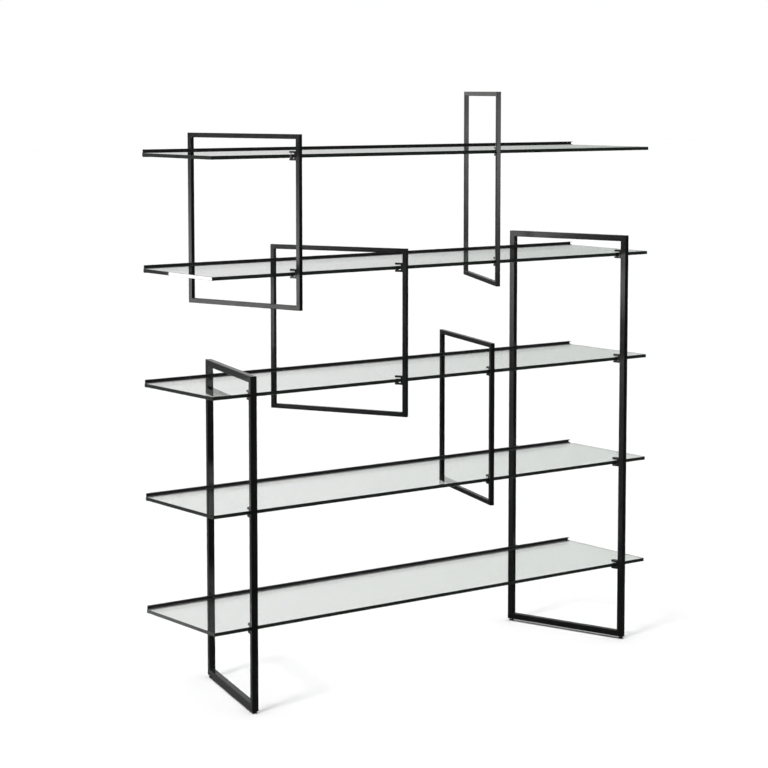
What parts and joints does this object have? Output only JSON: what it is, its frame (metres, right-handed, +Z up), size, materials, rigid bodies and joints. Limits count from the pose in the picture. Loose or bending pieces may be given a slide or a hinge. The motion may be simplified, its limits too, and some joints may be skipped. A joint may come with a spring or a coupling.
{
  "type": "zigzag bookshelf",
  "caption": "Open glass bookshelf carried by black square-tube frames turned at alternating angles, with back rails, glass clips and levelling feet.",
  "frame": {"origin": "on the floor, under the middle of the shelves' length and depth", "axes": "+Z up, +X along the shelves to the right as seen from the front, +Y from front to back"},
  "size_m": [1.94, 0.495, 2.051],
  "materials": {
    "clear_glass": "polished, clear with a green cast",
    "black_rail": "black satin",
    "black_tube": "black satin powder coat",
    "black_bracket": "black satin powder coat",
    "black_screw": "black oxide",
    "clear_pad": "clear soft plastic",
    "cap_rubber": "black moulded rubber",
    "foot_plastic": "black moulded",
    "zinc_bush": "zinc plated"
  },
  "bodies": {
    "bookshelf": {"back_rail_1": "black_rail", "back_rail_2": "black_rail", "back_rail_3": "black_rail", "back_rail_4": "black_rail", "back_rail_5": "black_rail", "clip_caps": "cap_rubber", "clip_pads": "clear_pad", "clip_screws": "black_screw", "foot_bushes": "zinc_bush", "glass_shelf_1": "clear_glass", "glass_shelf_2": "clear_glass", "glass_shelf_3": "clear_glass", "glass_shelf_4": "clear_glass", "glass_shelf_5": "clear_glass", "lower_left_bottom_bar": "black_tube", "lower_left_brackets": "black_bracket", "lower_left_clips": "black_bracket", "lower_left_front_post": "black_tube", "lower_left_rear_post": "black_tube", "lower_left_top_bar": "black_tube", "middle_left_bottom_bar": "black_tube", "middle_left_brackets": "black_bracket", "middle_left_clips": "black_bracket", "middle_left_front_post": "black_tube", "middle_left_rear_post": "black_tube", "middle_left_top_bar": "black_tube", "middle_right_bottom_bar": "black_tube", "middle_right_brackets": "black_bracket", "middle_right_clips": "black_bracket", "middle_right_front_post": "black_tube", "middle_right_rear_post": "black_tube", "middle_right_top_bar": "black_tube", "rail_screws": "black_screw", "right_bottom_bar": "black_tube", "right_brackets": "black_bracket", "right_clips": "black_bracket", "right_front_post": "black_tube", "right_rear_post": "black_tube", "right_top_bar": "black_tube", "upper_left_bottom_bar": "black_tube", "upper_left_brackets": "black_bracket", "upper_left_clips": "black_bracket", "upper_left_front_post": "black_tube", "upper_left_rear_post": "black_tube", "upper_left_top_bar": "black_tube", "upper_right_bottom_bar": "black_tube", "upper_right_brackets": "black_bracket", "upper_right_clips": "black_bracket", "upper_right_front_post": "black_tube", "upper_right_rear_post": "black_tube", "upper_right_top_bar": "black_tube"},
    "lower_left_front_foot": {"lower_left_front_foot": "foot_plastic"},
    "lower_left_rear_foot": {"lower_left_rear_foot": "foot_plastic"},
    "right_front_foot": {"right_front_foot": "foot_plastic"},
    "right_rear_foot": {"right_rear_foot": "foot_plastic"}
  },
  "joints": [
    {"name": "lower_left_front_foot_screw", "type": "slide", "parent": "bookshelf", "child": "lower_left_front_foot", "axis": [0, 0, -1], "range_m": [-0.001, 0.008]},
    {"name": "lower_left_rear_foot_screw", "type": "slide", "parent": "bookshelf", "child": "lower_left_rear_foot", "axis": [0, 0, -1], "range_m": [-0.001, 0.008]},
    {"name": "right_front_foot_screw", "type": "slide", "parent": "bookshelf", "child": "right_front_foot", "axis": [0, 0, -1], "range_m": [-0.001, 0.008]},
    {"name": "right_rear_foot_screw", "type": "slide", "parent": "bookshelf", "child": "right_rear_foot", "axis": [0, 0, -1], "range_m": [-0.001, 0.008]}
  ]
}
